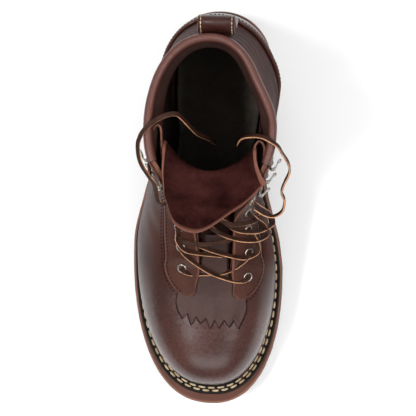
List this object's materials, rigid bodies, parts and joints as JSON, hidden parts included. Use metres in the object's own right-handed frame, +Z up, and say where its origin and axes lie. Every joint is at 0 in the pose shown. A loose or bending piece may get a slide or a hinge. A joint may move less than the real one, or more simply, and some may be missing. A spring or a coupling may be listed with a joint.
{
  "type": "lace-up boot",
  "caption": "Dark brown leather lace-up work boot for the right foot: hollow upper, lug sole, pinked kiltie, folded tongue, eyelets, speed hooks and loose laces.",
  "frame": {"origin": "on the ground, in the middle of the heel cap's flat bottom", "axes": "toe towards -Y, heel towards +Y, +Z up, the wearer's outer side towards -X"},
  "size_m": [0.1215, 0.3046, 0.1905],
  "materials": {
    "brown_leather": "semi-gloss oiled leather",
    "collar_leather": "semi-gloss leather",
    "tongue_suede": "matt, flesh side out",
    "sole_leather": "dressed brown edge",
    "black_welt": "near-black storm welt",
    "tread_rubber": "matt black rubber",
    "insole_leather": "dark worn leather",
    "nickel": "polished nickel silver",
    "rawhide_lace": "oiled rawhide lace"
  },
  "bodies": {
    "root": {"outsole": "tread_rubber", "heel_cap": "tread_rubber", "heel": "sole_leather", "midsole": "sole_leather", "welt": "black_welt", "insole": "insole_leather", "upper": "brown_leather", "counter": "brown_leather", "kiltie": "brown_leather", "facing_lateral": "brown_leather", "facing_medial": "brown_leather", "collar": "collar_leather", "pull_loop": "collar_leather", "tongue": "tongue_suede", "eyelet_lateral_1": "nickel", "eyelet_lateral_2": "nickel", "eyelet_lateral_3": "nickel", "eyelet_lateral_4": "nickel", "eyelet_lateral_5": "nickel", "hook_lateral_1": "nickel", "hook_lateral_2": "nickel", "hook_lateral_3": "nickel", "eyelet_medial_1": "nickel", "eyelet_medial_2": "nickel", "eyelet_medial_3": "nickel", "eyelet_medial_4": "nickel", "eyelet_medial_5": "nickel", "hook_medial_1": "nickel", "hook_medial_2": "nickel", "hook_medial_3": "nickel", "lace": "rawhide_lace", "lace_end_lateral": "rawhide_lace", "lace_end_medial": "rawhide_lace"}
  },
  "joints": []
}
